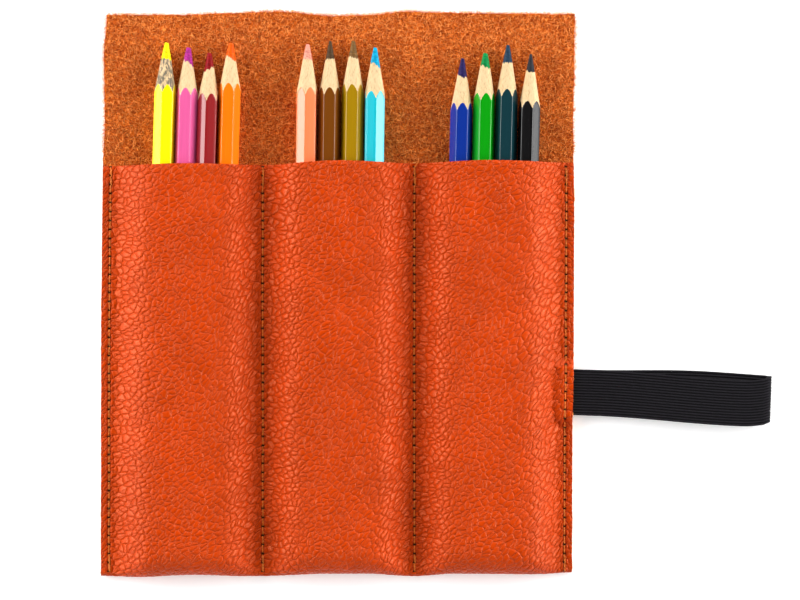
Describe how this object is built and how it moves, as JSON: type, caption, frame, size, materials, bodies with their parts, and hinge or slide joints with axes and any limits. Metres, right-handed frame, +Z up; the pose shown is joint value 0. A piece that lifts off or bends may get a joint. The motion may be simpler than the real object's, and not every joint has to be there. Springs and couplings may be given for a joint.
{
  "type": "pencil case",
  "caption": "Open leather pencil case with sewn pockets of coloured pencils, a napped flap behind their tips and an elastic closing loop.",
  "frame": {"origin": "middle of the leather's rest face, with the case lying open on its back", "axes": "+X towards the elastic loop, +Y towards the flap and the pencil tips, +Z up from the rest face"},
  "size_m": [0.2302, 0.194, 0.011],
  "materials": {
    "leather_grain": "pebbled grain, soft sheen",
    "leather_flesh": "napped suede flesh side",
    "thread": "twisted ochre sewing thread",
    "elastic": "ribbed woven elastic",
    "yellow_paint": "gloss lacquer on wood",
    "yellow_core": "waxy coloured core",
    "magenta_paint": "gloss lacquer on wood",
    "magenta_core": "waxy coloured core",
    "red_paint": "gloss lacquer on wood",
    "red_core": "waxy coloured core",
    "orange_paint": "gloss lacquer on wood",
    "orange_core": "waxy coloured core",
    "peach_paint": "gloss lacquer on wood",
    "peach_core": "waxy coloured core",
    "brown_paint": "gloss lacquer on wood",
    "brown_core": "waxy coloured core",
    "ochre_paint": "gloss lacquer on wood",
    "ochre_core": "waxy coloured core",
    "sky_blue_paint": "gloss lacquer on wood",
    "sky_blue_core": "waxy coloured core",
    "blue_paint": "gloss lacquer on wood",
    "blue_core": "waxy coloured core",
    "green_paint": "gloss lacquer on wood",
    "green_core": "waxy coloured core",
    "teal_paint": "gloss lacquer on wood",
    "teal_core": "waxy coloured core",
    "black_paint": "gloss lacquer on wood",
    "black_core": "waxy coloured core"
  },
  "bodies": {
    "middle_panel": {"middle_back_panel": "leather_flesh", "middle_pocket_front": "leather_grain", "left_inner_top_thread": "thread", "left_inner_bobbin_thread": "thread", "right_inner_top_thread": "thread", "right_inner_bobbin_thread": "thread"},
    "left_panel": {"left_back_panel": "leather_flesh", "left_pocket_front": "leather_grain", "left_edge_top_thread": "thread", "left_edge_bobbin_thread": "thread"},
    "right_panel": {"right_back_panel": "leather_flesh", "right_pocket_front": "leather_grain", "right_edge_top_thread": "thread", "right_edge_bobbin_thread": "thread", "elastic_sewn_ends": "elastic"},
    "elastic_loop": {"elastic_upper_leg": "elastic", "elastic_lower_leg": "elastic"},
    "elastic_end": {"elastic_nose": "elastic"},
    "yellow_pencil": {"yellow_pencil_barrel": "yellow_paint", "yellow_pencil_core": "yellow_core"},
    "magenta_pencil": {"magenta_pencil_barrel": "magenta_paint", "magenta_pencil_core": "magenta_core"},
    "red_pencil": {"red_pencil_barrel": "red_paint", "red_pencil_core": "red_core"},
    "orange_pencil": {"orange_pencil_barrel": "orange_paint", "orange_pencil_core": "orange_core"},
    "peach_pencil": {"peach_pencil_barrel": "peach_paint", "peach_pencil_core": "peach_core"},
    "brown_pencil": {"brown_pencil_barrel": "brown_paint", "brown_pencil_core": "brown_core"},
    "ochre_pencil": {"ochre_pencil_barrel": "ochre_paint", "ochre_pencil_core": "ochre_core"},
    "sky_blue_pencil": {"sky_blue_pencil_barrel": "sky_blue_paint", "sky_blue_pencil_core": "sky_blue_core"},
    "blue_pencil": {"blue_pencil_barrel": "blue_paint", "blue_pencil_core": "blue_core"},
    "green_pencil": {"green_pencil_barrel": "green_paint", "green_pencil_core": "green_core"},
    "teal_pencil": {"teal_pencil_barrel": "teal_paint", "teal_pencil_core": "teal_core"},
    "black_pencil": {"black_pencil_barrel": "black_paint", "black_pencil_core": "black_core"}
  },
  "joints": [
    {"name": "left_fold", "type": "hinge", "parent": "middle_panel", "child": "left_panel", "pos_m": [-0.0273, 0, 0.0026], "axis": [0, 1, 0], "range_deg": [0, 100]},
    {"name": "right_fold", "type": "hinge", "parent": "middle_panel", "child": "right_panel", "pos_m": [0.0273, 0, 0.0026], "axis": [0, -1, 0], "range_deg": [0, 100]},
    {"name": "elastic_swing", "type": "hinge", "parent": "right_panel", "child": "elastic_loop", "pos_m": [0.0826, -0.0335, 0.0022], "axis": [-0.0349, -0.9994, 0], "range_deg": [0, 70]},
    {"name": "elastic_stretch", "type": "slide", "parent": "elastic_loop", "child": "elastic_end", "axis": [0.9994, -0.0349, 0], "range_m": [0, 0.035], "stiffness_N_per_m": 150, "deforming": ["elastic_upper_leg", "elastic_lower_leg"]},
    {"name": "yellow_pencil_slide", "type": "slide", "parent": "left_panel", "child": "yellow_pencil", "axis": [0.0297, 0.9996, 0], "range_m": [0, 0.19]},
    {"name": "magenta_pencil_slide", "type": "slide", "parent": "left_panel", "child": "magenta_pencil", "axis": [0.0297, 0.9996, 0], "range_m": [0, 0.19]},
    {"name": "red_pencil_slide", "type": "slide", "parent": "left_panel", "child": "red_pencil", "axis": [0.0297, 0.9996, 0], "range_m": [0, 0.19]},
    {"name": "orange_pencil_slide", "type": "slide", "parent": "left_panel", "child": "orange_pencil", "axis": [0.0297, 0.9996, 0], "range_m": [0, 0.19]},
    {"name": "peach_pencil_slide", "type": "slide", "parent": "middle_panel", "child": "peach_pencil", "axis": [0.014, 0.9999, 0], "range_m": [0, 0.19]},
    {"name": "brown_pencil_slide", "type": "slide", "parent": "middle_panel", "child": "brown_pencil", "axis": [0.014, 0.9999, 0], "range_m": [0, 0.19]},
    {"name": "ochre_pencil_slide", "type": "slide", "parent": "middle_panel", "child": "ochre_pencil", "axis": [0.014, 0.9999, 0], "range_m": [0, 0.19]},
    {"name": "sky_blue_pencil_slide", "type": "slide", "parent": "middle_panel", "child": "sky_blue_pencil", "axis": [0.014, 0.9999, 0], "range_m": [0, 0.19]},
    {"name": "blue_pencil_slide", "type": "slide", "parent": "right_panel", "child": "blue_pencil", "axis": [0.0244, 0.9997, 0], "range_m": [0, 0.19]},
    {"name": "green_pencil_slide", "type": "slide", "parent": "right_panel", "child": "green_pencil", "axis": [0.0244, 0.9997, 0], "range_m": [0, 0.19]},
    {"name": "teal_pencil_slide", "type": "slide", "parent": "right_panel", "child": "teal_pencil", "axis": [0.0244, 0.9997, 0], "range_m": [0, 0.19]},
    {"name": "black_pencil_slide", "type": "slide", "parent": "right_panel", "child": "black_pencil", "axis": [0.0244, 0.9997, 0], "range_m": [0, 0.19]}
  ]
}
